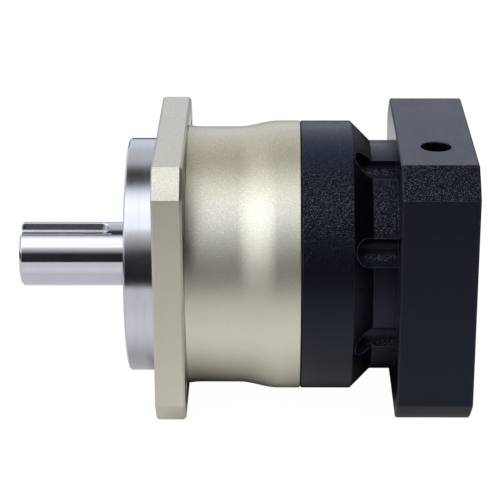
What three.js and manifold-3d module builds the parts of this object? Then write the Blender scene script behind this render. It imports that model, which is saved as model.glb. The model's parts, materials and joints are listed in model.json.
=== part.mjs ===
// Single-stage 10:1 planetary gearbox with a 90 mm square mounting flange, a
// keyed 22 mm output shaft and a clamp hub for a 19 mm motor shaft.
// Millimetres, +Z up. The gear axis is X: the output shaft points to -X (front)
// and the motor bolts on at +X (rear). The origin is on the axis, halfway along.
import * as THREE from "three";
import { mergeVertices } from "three/addons/utils/BufferGeometryUtils.js";
import Module from "manifold-3d";

// ---------------------------------------------------------------- dimensions
// X_ is a station along the axis, R_ a radius, Z_ a number of teeth.
const DEGREE = Math.PI / 180;
const OVERCUT = 1; // how far cutters run past the faces they open
const GAP = 0.05; // between parts that seat against each other

// Casing stations
const LENGTH = 152.7;
const X_SHAFT_TIP = -LENGTH / 2;
const X_PILOT_FACE = -38.75;
const X_FLANGE_FRONT = -28.85;
const X_FLANGE_BACK = X_FLANGE_FRONT + 10;
const X_FLARE_START = -1.25;
const X_FLARE_END = 11.85;
const X_JOINT = 19.3; // champagne housing meets black housing
const X_RING_END = 36.4;
const X_CONE_END = 43.05;
const X_ADAPTER_FRONT = 51.2;
const X_ADAPTER_BACK = LENGTH / 2;

// Casing radii and squares
const R_PILOT = 40;
const R_BODY = 44;
const R_RING = 46;
const R_NECK = 39.35;
const SQUARE = 90;
const R_FLANGE_CORNER = 58.1;
const R_ADAPTER_CORNER = 57.5;
const R_GEAR_BORE = 36.6; // output housing, around the ring gear
const R_GEAR_SEAT = R_GEAR_BORE - 0.2; // ring gear and input housing spigot
const R_SEAL_BORE = 23.6;
const R_OUTPUT_HOLE = 3.3;
const R_MOTOR_HOLE = 2.6;
const MOTOR_HOLE_DEPTH = 16;
const R_MOTOR_PILOT = 35;
const MOTOR_PILOT_DEPTH = 4;
const R_MOTOR_BORE = 9.5;

// Casing screws
const R_SCREW_HOLE = 2.95;
const SCREW_HOLE_SIDES = 6;
const R_POCKET = 4.75;
const X_POCKET_SEAT = 31.4;
const X_ADAPTER_SCREW_SEAT = 66.3;

// Output shaft and keyway
const R_SHAFT = 11;
const R_COLLAR = 17.5; // bearing seat and seal land
const KEY_WIDTH = 6;
const KEY_DEPTH = 3.5;
const X_KEY_END = -45.85;
const KEY_TILT = 13.2 * DEGREE; // keyway leans towards -Y from the top

// Clamp screw and its access hole, along Z
const X_CLAMP = 63.65;
const Y_CLAMP = -17.2;
const R_ACCESS = 4.95;
const Z_CLAMP_SEAT = 5.4; // height of the screw head's seat, not a tooth count

// Gear train
const MODULE = 0.6;
const Z_SUN = 12;
const Z_PLANET = 48;
const Z_RING = Z_SUN + 2 * Z_PLANET;
const pitchRadius = (teeth) => (MODULE * teeth) / 2;
const CENTRE_DISTANCE = pitchRadius(Z_SUN + Z_PLANET);
const PLANETS = 3;
const FIRST_PLANET = 90; // degrees
const PRESSURE_ANGLE = 20 * DEGREE;
const BACKLASH = 0.09;
const X_GEAR_FRONT = 4.85;
const X_GEAR_BACK = 15.15;

// Planet carrier
const X_CARRIER_FACE = 4; // rear face of the disc on the output shaft
const X_PLATE_FRONT = 16;
const X_PLATE_BACK = 20.5;
const X_PIN_END = 20.3; // pins and screw heads end here
const R_PIN = 3.5;
const R_PIN_HOLE = 3.75;
const R_PLANET_PART_BORE = 3.72; // needle sleeves and thrust washers
const R_POST = 4.8;
const R_POST_HOLE = 2.25;
const WASHER_THICKNESS = 0.7;
const WASHER_GAP = 0.08;

// Bearings; all but width and the ball count are radii
const OUTPUT_BEARING = { bore: R_COLLAR, outer: 27.5, pitch: 22.5, ball: 2.9, balls: 8, width: 10 };
const INPUT_BEARING = { bore: 15, outer: 23.5, pitch: 19.25, ball: 2.4, balls: 8, width: 9 };
const X_FRONT_BEARING = -19;
const X_REAR_BEARING = -7;
const X_OUTPUT_SHOULDER = X_REAR_BEARING + OUTPUT_BEARING.width / 2 + GAP;
const X_INPUT_SHOULDER = 27;
const X_INPUT_BEARING = X_INPUT_SHOULDER + GAP + INPUT_BEARING.width / 2;

// Circlips: [front, back] stations
const OUTPUT_CLIP = [-25.65, -24.1];
const INPUT_SHAFT_CLIP = [36.2, 37.4];
const INPUT_BORE_CLIP = [36.2, 37.6];

// ------------------------------------------------------------------- places
// Points in the YZ plane, with angles in degrees from +Y towards +Z.
const polar = (radius, degrees) => [
  radius * Math.cos(degrees * DEGREE),
  radius * Math.sin(degrees * DEGREE),
];
const circle = (radius, count, start = 0) =>
  Array.from({ length: count }, (_, i) => polar(radius, start + (360 * i) / count));

const OUTPUT_BOLTS = circle(50, 4, 45);
const MOTOR_BOLTS = circle(45, 4, 45);
const HOUSING_SCREWS = circle(40.4, 8, 22.5);
const ADAPTER_SCREWS = circle(30.6, 4);
const PLANET_CENTRES = circle(CENTRE_DISTANCE, PLANETS, FIRST_PLANET);
const CARRIER_POSTS = circle(23.6, PLANETS, FIRST_PLANET + 180 / PLANETS);

// ------------------------------------------------------------------- solids
const wasm = await Module();
wasm.setup();

// Welds a closed geometry into a Manifold, turned right side out.
function solid(geometry) {
  geometry.deleteAttribute("normal");
  geometry.deleteAttribute("uv");
  const merged = mergeVertices(geometry, 1e-4);
  const index = merged.index.array;
  const triangles = [];
  for (let i = 0; i < index.length; i += 3) {
    const [a, b, c] = index.slice(i, i + 3);
    if (a !== b && b !== c && a !== c) triangles.push([a, b, c]);
  }
  const build = (list) =>
    new wasm.Manifold(
      new wasm.Mesh({
        numProp: 3,
        vertProperties: new Float32Array(merged.attributes.position.array),
        triVerts: new Uint32Array(list.flat()),
      }),
    );
  const first = build(triangles);
  return first.volume() >= 0 ? first : build(triangles.map(([a, b, c]) => [a, c, b]));
}

// Solid of revolution about X from [x, radius] points. With both ends on the
// axis it is a solid bar; otherwise the profile closes on itself into a ring.
function turned(profile, segments = 32) {
  const points = profile.map(([x, radius]) => new THREE.Vector2(radius, x));
  const onAxis = profile[0][1] === 0 && profile.at(-1)[1] === 0;
  if (!onAxis) points.push(points[0].clone());
  const geometry = new THREE.LatheGeometry(points, segments);
  geometry.rotateZ(-Math.PI / 2);
  return solid(geometry);
}

const tube = (front, back, inner, outer, segments) =>
  turned([[front, inner], [back, inner], [back, outer], [front, outer]], segments);

function rodX(front, back, radius, segments, [y, z] = [0, 0]) {
  const geometry = new THREE.CylinderGeometry(radius, radius, back - front, segments);
  geometry.rotateZ(-Math.PI / 2);
  geometry.translate((front + back) / 2, y, z);
  return solid(geometry);
}

// The same rod along X at each of several [y, z] places.
const rodsX = (places, front, back, radius, segments) =>
  places.map((point) => rodX(front, back, radius, segments, point));

// Upright rod on the line of the clamp screw.
function clampRod(bottom, top, radius, segments) {
  const geometry = new THREE.CylinderGeometry(radius, radius, top - bottom, segments);
  geometry.rotateX(Math.PI / 2);
  geometry.translate(X_CLAMP, Y_CLAMP, (bottom + top) / 2);
  return solid(geometry);
}

// Box from its [low, high] range on each axis.
function box(...ranges) {
  const geometry = new THREE.BoxGeometry(...ranges.map(([low, high]) => high - low));
  geometry.translate(...ranges.map(([low, high]) => (low + high) / 2));
  return solid(geometry);
}

// Extrusion along X of an outline of [y, z] points, with an optional hole.
const SHAPE_TO_YZ = new THREE.Matrix4().makeBasis(
  new THREE.Vector3(0, 1, 0),
  new THREE.Vector3(0, 0, 1),
  new THREE.Vector3(1, 0, 0),
);
function extruded(outline, front, back, hole) {
  const vectors = (points) => points.map(([y, z]) => new THREE.Vector2(y, z));
  const shape = new THREE.Shape(vectors(outline));
  if (hole) shape.holes.push(new THREE.Path(vectors(hole)));
  const geometry = new THREE.ExtrudeGeometry(shape, { depth: back - front, bevelEnabled: false });
  geometry.applyMatrix4(SHAPE_TO_YZ);
  geometry.translate(front, 0, 0);
  return solid(geometry);
}

// Outline of the casing square, its corners turned to a radius.
function turnedSquare(cornerRadius) {
  const steps = 3;
  const start = Math.acos(SQUARE / 2 / cornerRadius) / DEGREE;
  const outline = [];
  for (let k = 0; k < 4; k++)
    for (let i = 0; i <= steps; i++)
      outline.push(polar(cornerRadius, 90 * k + start + ((90 - 2 * start) * i) / steps));
  return outline;
}

const unite = (shapes) => shapes.reduce((sum, shape) => sum.add(shape));
const cut = (base, cutters) => cutters.reduce((rest, cutter) => rest.subtract(cutter), base);

// ----------------------------------------------------------------- materials
const FINISHES = {
  champagne: { color: 0xbdb8a4, roughness: 0.42, metalness: 0.85 },
  bareSteel: { color: 0xb9b9c2, roughness: 0.25, metalness: 1 },
  groundSteel: { color: 0xc9c9ce, roughness: 0.18, metalness: 1 },
  blackAnodised: { color: 0x24262d, roughness: 0.55, metalness: 0.6 },
  blackOxide: { color: 0x1d1d20, roughness: 0.45, metalness: 0.8 },
  gearSteel: { color: 0x8e9096, roughness: 0.32, metalness: 1 },
  bearingSteel: { color: 0xc4c6ca, roughness: 0.15, metalness: 1 },
  cageBrass: { color: 0xb58d4a, roughness: 0.4, metalness: 0.9 },
  springSteel: { color: 0x4c4e55, roughness: 0.35, metalness: 0.9 },
  bronze: { color: 0xa9793f, roughness: 0.4, metalness: 0.9 },
  rubber: { color: 0x1a1a1a, roughness: 0.85, metalness: 0 },
};

// -------------------------------------------------------------------- scene
const root = new THREE.Group();
const outputGroup = new THREE.Group();
const inputGroup = new THREE.Group();
root.add(outputGroup, inputGroup);

function geometryOf(manifold) {
  const { numVert, numProp, vertProperties, triVerts } = manifold.getMesh();
  const positions = new Float32Array(numVert * 3);
  for (let i = 0; i < numVert; i++)
    positions.set(vertProperties.subarray(i * numProp, i * numProp + 3), i * 3);
  const geometry = new THREE.BufferGeometry();
  geometry.setAttribute("position", new THREE.BufferAttribute(positions, 3));
  geometry.setIndex(new THREE.BufferAttribute(new Uint32Array(triVerts), 1));
  geometry.computeVertexNormals();
  return geometry;
}

const geometries = new Map(); // repeated parts share one geometry
function place(name, shape, finish, parent = root, { at = [0, 0, 0], turn = [0, 0, 0] } = {}) {
  if (!geometries.has(shape)) geometries.set(shape, geometryOf(shape));
  const material = new THREE.MeshStandardMaterial(FINISHES[finish]);
  const mesh = new THREE.Mesh(geometries.get(shape), material);
  mesh.name = name;
  mesh.position.set(...at);
  mesh.rotation.set(...turn);
  parent.add(mesh);
}

// -------------------------------------------------------------------- casing
// Profiles below are lists of [x, radius].

// Square flange and flared body, bored for the bearings, carrier and ring gear.
function outputHousing() {
  const flare = [];
  for (let i = 1; i < 4; i++) {
    const along = i / 4;
    const rise = along * along * (3 - 2 * along);
    flare.push([
      X_FLARE_START + (X_FLARE_END - X_FLARE_START) * along,
      R_BODY + (R_RING - R_BODY) * rise,
    ]);
  }
  const body = turned([
    [X_FLANGE_BACK - 2, 0], [X_FLANGE_BACK - 2, R_BODY], [X_FLARE_START, R_BODY], ...flare,
    [X_FLARE_END, R_RING], [X_JOINT - 0.3, R_RING], [X_JOINT, R_RING - 0.3], [X_JOINT, 0],
  ]);
  const flange = extruded(turnedSquare(R_FLANGE_CORNER), X_FLANGE_FRONT, X_FLANGE_BACK);
  const bore = turned([
    [X_FLANGE_FRONT - OVERCUT, 0], [X_FLANGE_FRONT - OVERCUT, 27.6],
    [X_OUTPUT_SHOULDER, 27.6], [X_OUTPUT_SHOULDER, 25], [-0.3, 25], [-0.3, 31.5], [4.3, 31.5],
    [4.3, R_GEAR_BORE], [X_JOINT + OVERCUT, R_GEAR_BORE], [X_JOINT + OVERCUT, 0],
  ]);
  return cut(body.add(flange), [
    bore,
    ...rodsX(OUTPUT_BOLTS, X_FLANGE_FRONT - OVERCUT, X_FLANGE_BACK + OVERCUT, R_OUTPUT_HOLE, 14),
    ...rodsX(HOUSING_SCREWS, 7, X_JOINT + OVERCUT, R_SCREW_HOLE, SCREW_HOLE_SIDES),
  ]);
}
place("output_housing", outputHousing(), "champagne");

// The turned pilot, the seal bore and a spigot that holds the bearings' outer
// races.
place(
  "front_bearing_cover",
  turned([
    [X_PILOT_FACE, R_SEAL_BORE], [X_PILOT_FACE, R_PILOT - 0.5], [X_PILOT_FACE + 0.5, R_PILOT],
    [X_FLANGE_FRONT, R_PILOT], [X_FLANGE_FRONT, 27.4], [-27.9, 27.4], [-27.9, 25.7],
    [-26, 25.7], [-26, 27.4], [-24.1, 27.4], [-24.1, 24], [-29, 24], [-29, 21], [-30.6, 21],
    [-30.6, R_SEAL_BORE],
  ]),
  "bareSteel",
);

// Ring, cone and neck with the eight screw pockets.
function inputHousing() {
  const skin = turned([
    [15.9, 31], [15.9, R_GEAR_SEAT], [16.6, R_GEAR_SEAT], [16.6, 34.6], [18.6, 34.6],
    [18.6, R_GEAR_SEAT], [X_JOINT, R_GEAR_SEAT], [X_JOINT, R_RING - 0.6],
    [X_JOINT + 0.6, R_RING], [X_RING_END, R_RING], [X_CONE_END, R_NECK],
    [X_ADAPTER_FRONT, R_NECK], [X_ADAPTER_FRONT, R_SEAL_BORE], [X_INPUT_SHOULDER, R_SEAL_BORE],
    [X_INPUT_SHOULDER, 20], [24, 20], [24, 31],
  ]);
  const end = X_ADAPTER_FRONT + OVERCUT;
  const [clipFront, clipBack] = INPUT_BORE_CLIP;
  return cut(skin, [
    ...rodsX(HOUSING_SCREWS, X_POCKET_SEAT, end, R_POCKET, 12),
    ...rodsX(
      HOUSING_SCREWS, X_JOINT - OVERCUT, X_POCKET_SEAT + OVERCUT, R_SCREW_HOLE, SCREW_HOLE_SIDES,
    ),
    ...rodsX(ADAPTER_SCREWS, 39, end, R_SCREW_HOLE, SCREW_HOLE_SIDES),
    tube(clipFront - 0.1, clipBack + 0.1, 22, 24.8, 20), // circlip groove
  ]);
}
place("input_housing", inputHousing(), "blackAnodised");

// Square block with the motor pilot recess, the clamp cavity and the clamp
// screw access hole in its top.
function motorAdapter() {
  const front = X_ADAPTER_FRONT - OVERCUT;
  const back = X_ADAPTER_BACK + OVERCUT;
  return cut(extruded(turnedSquare(R_ADAPTER_CORNER), X_ADAPTER_FRONT, X_ADAPTER_BACK), [
    rodX(front, back, 25.2, 32),
    rodX(X_ADAPTER_BACK - MOTOR_PILOT_DEPTH, back, R_MOTOR_PILOT, 36),
    clampRod(5, SQUARE / 2 + OVERCUT, R_ACCESS, 20),
    ...rodsX(MOTOR_BOLTS, X_ADAPTER_BACK - MOTOR_HOLE_DEPTH, back, R_MOTOR_HOLE, 12),
    ...rodsX(ADAPTER_SCREWS, front, X_ADAPTER_BACK, R_SCREW_HOLE, SCREW_HOLE_SIDES),
    ...rodsX(ADAPTER_SCREWS, X_ADAPTER_SCREW_SEAT, X_ADAPTER_BACK, 4.6, 12),
  ]);
}
place("motor_adapter_flange", motorAdapter(), "blackAnodised");

// ---------------------------------------------------------------- fasteners
// Socket head screw along X: underside of the head at x = 0, head towards +X.
function socketScrew(length) {
  const headRadius = 4.25;
  const headHeight = 5;
  const shankRadius = 2.5;
  const hexFlats = 4;
  const chamfer = 0.4;
  const blank = turned(
    [
      [-length, 0], [-length, shankRadius], [0, shankRadius], [0, headRadius],
      [headHeight - chamfer, headRadius], [headHeight, headRadius - chamfer], [headHeight, 0],
    ],
    8,
  );
  const hexOutline = circle(hexFlats / Math.sqrt(3), 6);
  return blank.subtract(extruded(hexOutline, headHeight * 0.45, headHeight + OVERCUT));
}

// One numbered part at each [y, z] place.
const placeEach = (name, shape, finish, parent, x, places) =>
  places.forEach(([y, z], i) =>
    place(`${name}_${i + 1}`, shape, finish, parent, { at: [x, y, z] }),
  );
placeEach(
  "housing_screw", socketScrew(20), "blackOxide", root, X_POCKET_SEAT + GAP, HOUSING_SCREWS,
);
placeEach(
  "adapter_screw", socketScrew(25), "blackOxide", root, X_ADAPTER_SCREW_SEAT + GAP, ADAPTER_SCREWS,
);

// -------------------------------------------------------------------- seals
function shaftSeal(front, back, shaftRadius) {
  const lip = shaftRadius + 0.2;
  const outer = R_SEAL_BORE - 0.2;
  return turned(
    [
      [front, lip], [front + 0.8, lip + 1], [front + 1.6, lip], [front + 2.4, lip + 1.7],
      [back, lip + 1.7], [back, outer], [front, outer],
    ],
    24,
  );
}
place("output_shaft_seal", shaftSeal(-37.9, -30.9, R_COLLAR), "rubber");
place("input_shaft_seal", shaftSeal(41, 48, INPUT_BEARING.bore), "rubber");

const oRing = (x, radius, cordRadius) =>
  turned(circle(cordRadius, 4).map(([along, out]) => [x + along, radius + out]));
place("cover_o_ring", oRing(-26.95, 26.65, 0.7), "rubber");
place("housing_o_ring", oRing(17.6, 35.6, 0.75), "rubber");

// ----------------------------------------------------------------- bearings
// Deep-groove ball bearing centred on x = 0.
function bearing({ bore, outer, pitch, ball, balls, width }) {
  const side = width / 2;
  const shoulder = ball * 0.62; // race edges, measured from the pitch circle
  const groove = ball + 0.25; // groove floors, likewise
  const floor = ball * 0.45; // half the width of a groove floor
  const innerRace = turned(
    [
      [-side, bore + 0.1], [side, bore + 0.1], [side, pitch - shoulder],
      [floor, pitch - groove], [-floor, pitch - groove], [-side, pitch - shoulder],
    ],
    24,
  );
  const outerRace = turned(
    [
      [-side, pitch + shoulder], [-floor, pitch + groove], [floor, pitch + groove],
      [side, pitch + shoulder], [side, outer - 0.1], [-side, outer - 0.1],
    ],
    24,
  );
  const ballSolids = circle(pitch, balls).map(([y, z]) =>
    solid(new THREE.IcosahedronGeometry(ball, 0).translate(0, y, z)),
  );
  const ballCage = unite([tube(-1.1, 1.1, pitch - 0.8, pitch + 0.8, 16), ...ballSolids]);
  return { innerRace, outerRace, ballCage };
}
function placeBearing(name, { innerRace, outerRace, ballCage }, x, shaftGroup) {
  const at = [x, 0, 0];
  place(`${name}_bearing_outer_race`, outerRace, "bearingSteel", root, { at });
  place(`${name}_bearing_inner_race`, innerRace, "bearingSteel", shaftGroup, { at });
  place(`${name}_bearing_ball_cage`, ballCage, "cageBrass", shaftGroup, { at });
}
const outputBearing = bearing(OUTPUT_BEARING);
placeBearing("front", outputBearing, X_FRONT_BEARING, outputGroup);
placeBearing("rear", outputBearing, X_REAR_BEARING, outputGroup);
placeBearing("input", bearing(INPUT_BEARING), X_INPUT_BEARING, inputGroup);

// Spacers between the two output bearings.
const spacer = (inner, outer) =>
  tube(
    X_FRONT_BEARING + OUTPUT_BEARING.width / 2 + GAP,
    X_REAR_BEARING - OUTPUT_BEARING.width / 2 - GAP,
    inner, outer, 20,
  );
place("outer_race_spacer", spacer(25.2, 27.4), "bareSteel");
place("inner_race_spacer", spacer(17.8, 19.6), "bareSteel", outputGroup);

// Open retaining ring with its gap at an angle in degrees.
function circlip([front, back], inner, outer, gapAngle) {
  const reach = 2.2; // half the side of the square gap cutter
  const [y, z] = polar((inner + outer) / 2, gapAngle);
  return tube(front, back, inner, outer, 20).subtract(
    box([front - OVERCUT, back + OVERCUT], [y - reach, y + reach], [z - reach, z + reach]),
  );
}
place("output_circlip", circlip(OUTPUT_CLIP, 16.95, 20, 270), "springSteel", outputGroup);
place("input_shaft_circlip", circlip(INPUT_SHAFT_CLIP, 14.7, 17.2, 90), "springSteel", inputGroup);
place("input_bore_circlip", circlip(INPUT_BORE_CLIP, 20.8, 24.5, 90), "springSteel");

// ------------------------------------------------------- output shaft/carrier
// Parallel-sided slot, open at the tip and round at its inner end.
function keyway() {
  const half = KEY_WIDTH / 2;
  const open = X_SHAFT_TIP - OVERCUT;
  const slot = new THREE.Shape();
  slot.moveTo(open, -half);
  slot.lineTo(X_KEY_END - half, -half);
  slot.absarc(X_KEY_END - half, 0, half, -Math.PI / 2, Math.PI / 2, false);
  slot.lineTo(open, half);
  const options = { depth: 8, bevelEnabled: false, curveSegments: 8 };
  const geometry = new THREE.ExtrudeGeometry(slot, options);
  geometry.translate(0, 0, R_SHAFT - KEY_DEPTH);
  geometry.rotateX(KEY_TILT);
  return solid(geometry);
}

// Shaft and front carrier disc in one piece, with posts for the rear plate.
function outputShaft() {
  const [clipFront, clipBack] = OUTPUT_CLIP;
  const bar = turned(
    [
      [X_SHAFT_TIP, 0], [X_SHAFT_TIP, R_SHAFT - 0.8], [X_SHAFT_TIP + 0.8, R_SHAFT],
      [-40.4, R_SHAFT], [-39.75, R_SHAFT + 0.65], [-39.75, R_COLLAR - 0.4], [-39.35, R_COLLAR],
      [clipFront - GAP, R_COLLAR], [clipFront - GAP, 16.6], [clipBack + GAP, 16.6],
      [clipBack + GAP, R_COLLAR], [X_OUTPUT_SHOULDER, R_COLLAR], [X_OUTPUT_SHOULDER, 20],
      [0, 20], [0, 29.5], [X_CARRIER_FACE, 29.5], [X_CARRIER_FACE, 6], [1, 6], [1, 0],
    ],
    24,
  );
  // centre hole with a 60 degree lead-in
  const centreHole = turned(
    [
      [X_SHAFT_TIP - 1, 0], [X_SHAFT_TIP - 1, 4.9], [X_SHAFT_TIP + 1.6, 3.4],
      [X_SHAFT_TIP + 19, 3.4], [X_SHAFT_TIP + 21, 0],
    ],
    16,
  );
  const posts = rodsX(CARRIER_POSTS, X_CARRIER_FACE - 0.5, X_PLATE_FRONT - GAP, R_POST, 12);
  return cut(unite([bar, ...posts]), [
    ...rodsX(CARRIER_POSTS, 7, X_PLATE_FRONT + OVERCUT, R_POST_HOLE, 8),
    ...rodsX(PLANET_CENTRES, -0.5, X_CARRIER_FACE + 0.5, R_PIN_HOLE, 12),
    centreHole,
    keyway(),
  ]);
}
place("output_shaft", outputShaft(), "groundSteel", outputGroup);

// Rear carrier plate with holes for the pins and countersunk screws.
function carrierPlate() {
  const front = X_PLATE_FRONT - OVERCUT;
  const back = 22;
  const sink = turned([[17.9, 0], [17.9, 2], [20.4, 4.6], [21.5, 4.6], [21.5, 0]], 8);
  return cut(tube(X_PLATE_FRONT, X_PLATE_BACK, 7.5, 28.6, 28), [
    ...rodsX(PLANET_CENTRES, front, back, R_PIN_HOLE, 12),
    ...rodsX(CARRIER_POSTS, front, back, R_POST_HOLE, 8),
    ...CARRIER_POSTS.map(([y, z]) => sink.translate([0, y, z])),
  ]);
}
place("carrier_plate", carrierPlate(), "gearSteel", outputGroup);

const carrierScrew = turned([[-12, 0], [-12, 1.9], [-2.2, 1.9], [0, 4.1], [0, 0]], 8).subtract(
  extruded(circle(1.45, 6), -1.5, OVERCUT),
);
placeEach("carrier_screw", carrierScrew, "blackOxide", outputGroup, X_PIN_END, CARRIER_POSTS);
const planetPin = rodX(0.3, X_PIN_END, R_PIN, 12);
placeEach("planet_pin", planetPin, "bearingSteel", outputGroup, 0, PLANET_CENTRES);

// --------------------------------------------------------------- gear teeth
const involute = (angle) => Math.tan(angle) - angle;

// Angle from an involute flank's pitch point to its point at a radius.
function flankAngle(teeth, radius) {
  const base = pitchRadius(teeth) * Math.cos(PRESSURE_ANGLE);
  return involute(PRESSURE_ANGLE) - (radius <= base ? 0 : involute(Math.acos(base / radius)));
}
const onCircle = (radius, angle) => [radius * Math.cos(angle), radius * Math.sin(angle)];

// External gear outline; radii lists the flank points from root to tip, and
// undercut is the angle taken off each side of the root.
function externalTeeth(teeth, radii, phase, undercut = 0) {
  const half = ((Math.PI * MODULE) / 2 - BACKLASH) / (MODULE * teeth);
  const flank = radii.map((radius, i) => [
    radius,
    half + flankAngle(teeth, radius) - (i === 0 ? undercut : 0),
  ]);
  const outline = [];
  for (let k = 0; k < teeth; k++) {
    const centre = phase + (2 * Math.PI * k) / teeth;
    outline.push(...flank.map(([radius, angle]) => onCircle(radius, centre - angle)));
    outline.push(...flank.map(([radius, angle]) => onCircle(radius, centre + angle)).reverse());
  }
  return outline;
}

// Bore outline of an internal gear, tooth spaces cut outwards.
function internalTeeth(teeth, tip, rootRadius) {
  const half = ((Math.PI * MODULE) / 2 + BACKLASH) / (MODULE * teeth);
  const tipAngle = half + flankAngle(teeth, tip);
  const rootAngle = half + flankAngle(teeth, rootRadius);
  const outline = [];
  for (let k = 0; k < teeth; k++) {
    const centre = (2 * Math.PI * (k + 0.5)) / teeth; // middle of a space
    outline.push(
      onCircle(tip, centre - tipAngle),
      onCircle(rootRadius, centre - rootAngle),
      onCircle(rootRadius, centre + rootAngle),
      onCircle(tip, centre + tipAngle),
    );
  }
  return outline;
}

// --------------------------------------------------------------- gear train
const ringPitch = pitchRadius(Z_RING);
const ringBore = internalTeeth(Z_RING, ringPitch - 0.46, ringPitch + 0.7);
place("ring_gear", extruded(circle(R_GEAR_SEAT, 36), 4.4, 15.8, ringBore), "gearSteel");

// Planet gear with a gap facing the sun and a gap facing the ring.
const planetPitch = pitchRadius(Z_PLANET);
const planetGear = extruded(
  externalTeeth(Z_PLANET, [planetPitch - 0.68, planetPitch + 0.48], Math.PI / Z_PLANET),
  X_GEAR_FRONT, X_GEAR_BACK, circle(5.1, 12),
);
const sleeve = tube(X_GEAR_FRONT + GAP, X_GEAR_BACK - GAP, R_PLANET_PART_BORE, 4.9, 12);
const washer = tube(0, WASHER_THICKNESS, R_PLANET_PART_BORE, 6.6, 12);
const frontWasher = { at: [X_CARRIER_FACE + WASHER_GAP, 0, 0] };
const rearWasher = { at: [X_PLATE_FRONT - WASHER_GAP - WASHER_THICKNESS, 0, 0] };
PLANET_CENTRES.forEach(([y, z], i) => {
  const turn = [(FIRST_PLANET + (360 * i) / PLANETS) * DEGREE, 0, 0];
  const group = new THREE.Group();
  group.position.set(0, y, z);
  outputGroup.add(group);
  place(`planet_gear_${i + 1}`, planetGear, "gearSteel", group, { turn });
  place(`planet_needle_sleeve_${i + 1}`, sleeve, "bearingSteel", group, { turn });
  place(`front_thrust_washer_${i + 1}`, washer, "bronze", group, frontWasher);
  place(`rear_thrust_washer_${i + 1}`, washer, "bronze", group, rearWasher);
});

// Sun gear and input hub in one piece: teeth, shank, bearing seat and the
// slotted clamp sleeve that takes the motor shaft.
function sunGearHub() {
  const pitch = pitchRadius(Z_SUN);
  const seat = INPUT_BEARING.bore;
  const [clipFront, clipBack] = INPUT_SHAFT_CLIP;
  const flankRadii = [pitch - 0.7, pitch - 0.25, pitch, pitch + 0.5];
  const teeth = extruded(externalTeeth(Z_SUN, flankRadii, 0, 0.06), X_GEAR_FRONT - 0.6, 16.2);
  const hub = turned(
    [
      [15.9, 0], [15.9, 2.7], [17.2, 4.4], [24.6, 4.4], [24.6, 17.4], [X_INPUT_SHOULDER, 17.4],
      [X_INPUT_SHOULDER, seat], [clipFront - GAP, seat], [clipFront - GAP, 14.3],
      [clipBack + GAP, 14.3], [clipBack + GAP, seat], [55, seat], [55, 13.6], [71.2, 13.6],
      [71.2, 10.1], [70.6, R_MOTOR_BORE], [35, R_MOTOR_BORE], [33, 6], [33, 0],
    ],
    24,
  );
  return cut(teeth.add(hub), [
    box([56, 72], [-0.6, 0.6], [-16, 16]),
    box([56, 72], [-16, 16], [-0.6, 0.6]),
  ]);
}
place("sun_gear_hub", sunGearHub(), "gearSteel", inputGroup);

// Split clamp collar and its tangential screw, head up under the access hole.
const clampCollar = cut(tube(X_CLAMP - 6.4, X_CLAMP + 6.4, 13.8, 22.6, 24), [
  box([X_CLAMP - 8, X_CLAMP + 8], [-24, -14], [-1.1, 1.1]),
  clampRod(-13.5, 30, 2.75, 10),
  clampRod(Z_CLAMP_SEAT, 30, 4.7, 12),
]);
place("clamp_collar", clampCollar, "blackOxide", inputGroup);
place("clamp_screw", socketScrew(18), "blackOxide", inputGroup, {
  at: [X_CLAMP, Y_CLAMP, Z_CLAMP_SEAT + GAP],
  turn: [0, -Math.PI / 2, 0],
});

export default root;
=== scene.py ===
# A gearbox lying along X, centred on its axis, with +Z up. The output shaft points to -X and
# the motor adapter is at +X. The camera stands at -Y, a little above, so the shaft is on the left.
# Lengths are in millimetres up to make(); materials, lights and camera use metres.
import bpy, bmesh, json, math
from mathutils import Vector, Matrix


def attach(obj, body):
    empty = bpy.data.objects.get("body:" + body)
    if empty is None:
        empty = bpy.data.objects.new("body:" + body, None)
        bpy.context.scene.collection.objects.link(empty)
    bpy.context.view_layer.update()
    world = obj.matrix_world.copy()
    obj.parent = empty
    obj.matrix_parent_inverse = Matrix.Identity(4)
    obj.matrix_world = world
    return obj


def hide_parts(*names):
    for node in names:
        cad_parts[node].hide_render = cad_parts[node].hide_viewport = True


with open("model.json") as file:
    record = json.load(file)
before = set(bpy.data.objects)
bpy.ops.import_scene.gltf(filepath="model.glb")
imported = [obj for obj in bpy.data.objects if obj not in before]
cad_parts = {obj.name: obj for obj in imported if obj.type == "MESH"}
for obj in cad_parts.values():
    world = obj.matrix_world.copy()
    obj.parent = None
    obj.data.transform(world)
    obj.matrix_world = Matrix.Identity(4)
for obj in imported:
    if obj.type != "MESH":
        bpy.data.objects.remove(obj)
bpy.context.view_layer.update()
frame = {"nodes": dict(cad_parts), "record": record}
MM = 0.001
TAU = 2 * math.pi

# -------------------------------------------------------- driving dimensions
# Stations along X
SHAFT_TIP = -76.35
COLLAR_FACE = -39.75
PILOT_FACE = -38.75
FLANGE_FACE, FLANGE_BACK = -28.85, -18.85
FLARE_START, FLARE_END = -1.25, 11.85
JOINT = 19.3  # where the two housings meet
RING_END, CONE_END = 36.4, 43.05
ADAPTER_FACE, ADAPTER_BACK = 51.2, 76.35

# Radii about X
SHAFT_R, COLLAR_R = 11.0, 17.5
PILOT_R, BODY_R, RING_R, NECK_R = 40.0, 44.0, 46.0, 39.35
SEAL_BORE_R = 23.6
HUB_R = 15

SQUARE_HALF = 45.0  # half-width of both square flanges
SIDES = 256  # facets around the large turned parts

# Screws: head seats, and the gap left under each head
JOINT_SEAT, ADAPTER_SEAT, CLAMP_SEAT = 31.4, 66.3, 5.4
SEAT_GAP = 0.05
CLAMP_X, CLAMP_Y = 63.65, -17.2
HEAD_R, HEAD_H, SHANK_R, THREAD_PITCH, KEY_FLATS = 4.25, 5, 2.5, 0.8, 4

# Keyway: half-width, centre of depth, rounded end and turn about X
KEY_HALF, KEY_FLOOR, KEY_END, KEY_TURN = 3.0, 7.5, -45.85, 13.2


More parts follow.
